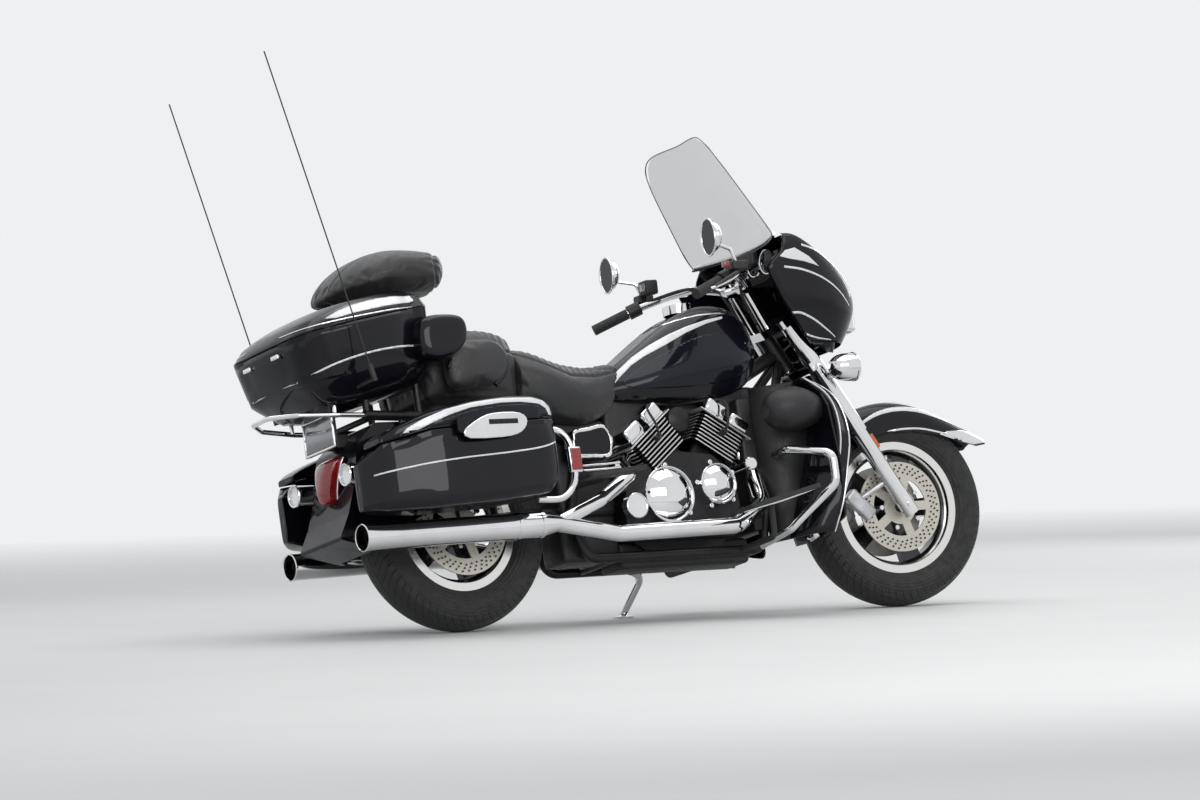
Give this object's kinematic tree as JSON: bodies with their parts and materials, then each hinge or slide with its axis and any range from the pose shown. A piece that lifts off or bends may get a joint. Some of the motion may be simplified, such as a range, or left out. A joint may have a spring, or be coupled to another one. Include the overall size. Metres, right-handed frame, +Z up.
{
  "type": "touring cruiser motorcycle",
  "caption": "Touring motorcycle on its side stand, with a finned vee engine, fairing and windshield, hinged saddlebags and trunk.",
  "frame": {"origin": "centre of the footprint on the ground, tyres and stand foot at z = 0", "axes": "+X forward, +Y left, +Z up; the machine leans 12 degrees to its left on the side stand"},
  "size_m": [2.697, 1.0418, 1.8328],
  "materials": {
    "alloy": "satin",
    "black_leather": "soft grained",
    "black_metal": "satin black",
    "black_paint": "gloss black with a blue tint",
    "black_plastic": "matt black",
    "chrome": "mirror polished",
    "clear_plastic": "clear",
    "disc_steel": "brushed",
    "lamp_glass": "clear lens",
    "red_lens": "red lens",
    "rim_metal": "polished lip",
    "rubber": "matt",
    "tyre": "road tread"
  },
  "bodies": {
    "chassis": {"frame": "black_metal", "swingarm": "black_metal", "engine_case": "black_metal", "cylinders_front": "black_metal", "cylinders_rear": "black_metal", "head_covers": "chrome", "engine_covers": "chrome", "intake": "black_plastic", "radiator": "black_metal", "fuel_tank": "black_paint", "tank_console": "chrome", "rider_seat": "black_leather", "passenger_seat": "black_leather", "side_covers": "black_paint", "saddlebag_right": "black_paint", "saddlebag_left": "black_paint", "rear_fender": "black_paint", "tail_lamp": "red_lens", "rear_signals": "chrome", "plate_holder": "black_plastic", "exhaust_right": "chrome", "exhaust_left": "chrome", "footboards": "rubber", "crash_guards": "chrome", "leg_shields": "black_paint", "lower_pods": "black_plastic", "fairing": "black_paint", "windshield": "clear_plastic", "headlamp": "lamp_glass", "dashboard": "black_plastic", "trunk_body": "black_paint", "armrests": "black_leather", "trunk_rack": "chrome", "antennas": "black_plastic"},
    "steering": {"fork": "alloy", "fork_covers": "chrome", "front_fender": "black_paint", "front_calipers": "disc_steel", "handlebar": "chrome", "grips": "rubber", "hand_controls": "black_plastic", "mirrors": "chrome", "passing_lamps": "chrome"},
    "front_wheel": {"front_tyre": "tyre", "front_rim": "rim_metal", "front_discs": "disc_steel"},
    "rear_wheel": {"rear_tyre": "tyre", "rear_rim": "rim_metal", "rear_disc": "disc_steel"},
    "side_stand": {"side_stand": "chrome"},
    "trunk_lid": {"trunk_lid": "black_paint", "backrest_pad": "black_leather"},
    "bag_lid_right": {"bag_lid_right": "black_paint"},
    "bag_lid_left": {"bag_lid_left": "black_paint"}
  },
  "joints": [
    {"name": "steering", "type": "hinge", "parent": "chassis", "child": "steering", "pos_m": [0.96098, -0.13167, 0.30175], "axis": [-0.5084, 0.179, 0.8423], "range_deg": [-25.6, 42.4]},
    {"name": "front_wheel", "type": "hinge", "parent": "steering", "child": "front_wheel", "pos_m": [0.9925, -0.13308, 0.32107], "axis": [0.1258, 0.9831, -0.133], "continuous": true},
    {"name": "rear_wheel", "type": "hinge", "parent": "chassis", "child": "rear_wheel", "pos_m": [-0.71216, -0.12759, 0.32091], "axis": [0, 0.9781, -0.2079], "continuous": true},
    {"name": "side_stand", "type": "hinge", "parent": "chassis", "child": "side_stand", "pos_m": [0.04797, 0.01472, 0.16314], "axis": [-0.0003, 0.9972, 0.0743], "range_deg": [0, 80]},
    {"name": "trunk_lid", "type": "hinge", "parent": "chassis", "child": "trunk_lid", "pos_m": [-0.81784, 0.01283, 0.98155], "axis": [0, 0.9781, -0.2079], "range_deg": [0, 40]},
    {"name": "bag_lid_right", "type": "hinge", "parent": "chassis", "child": "bag_lid_right", "pos_m": [-0.81242, -0.28857, 0.6169], "axis": [-0.9988, -0.0101, -0.0474], "range_deg": [0, 50]},
    {"name": "bag_lid_left", "type": "hinge", "parent": "chassis", "child": "bag_lid_left", "pos_m": [-0.81242, 0.13986, 0.52584], "axis": [0.9988, 0.0101, 0.0474], "range_deg": [0, 50]}
  ]
}
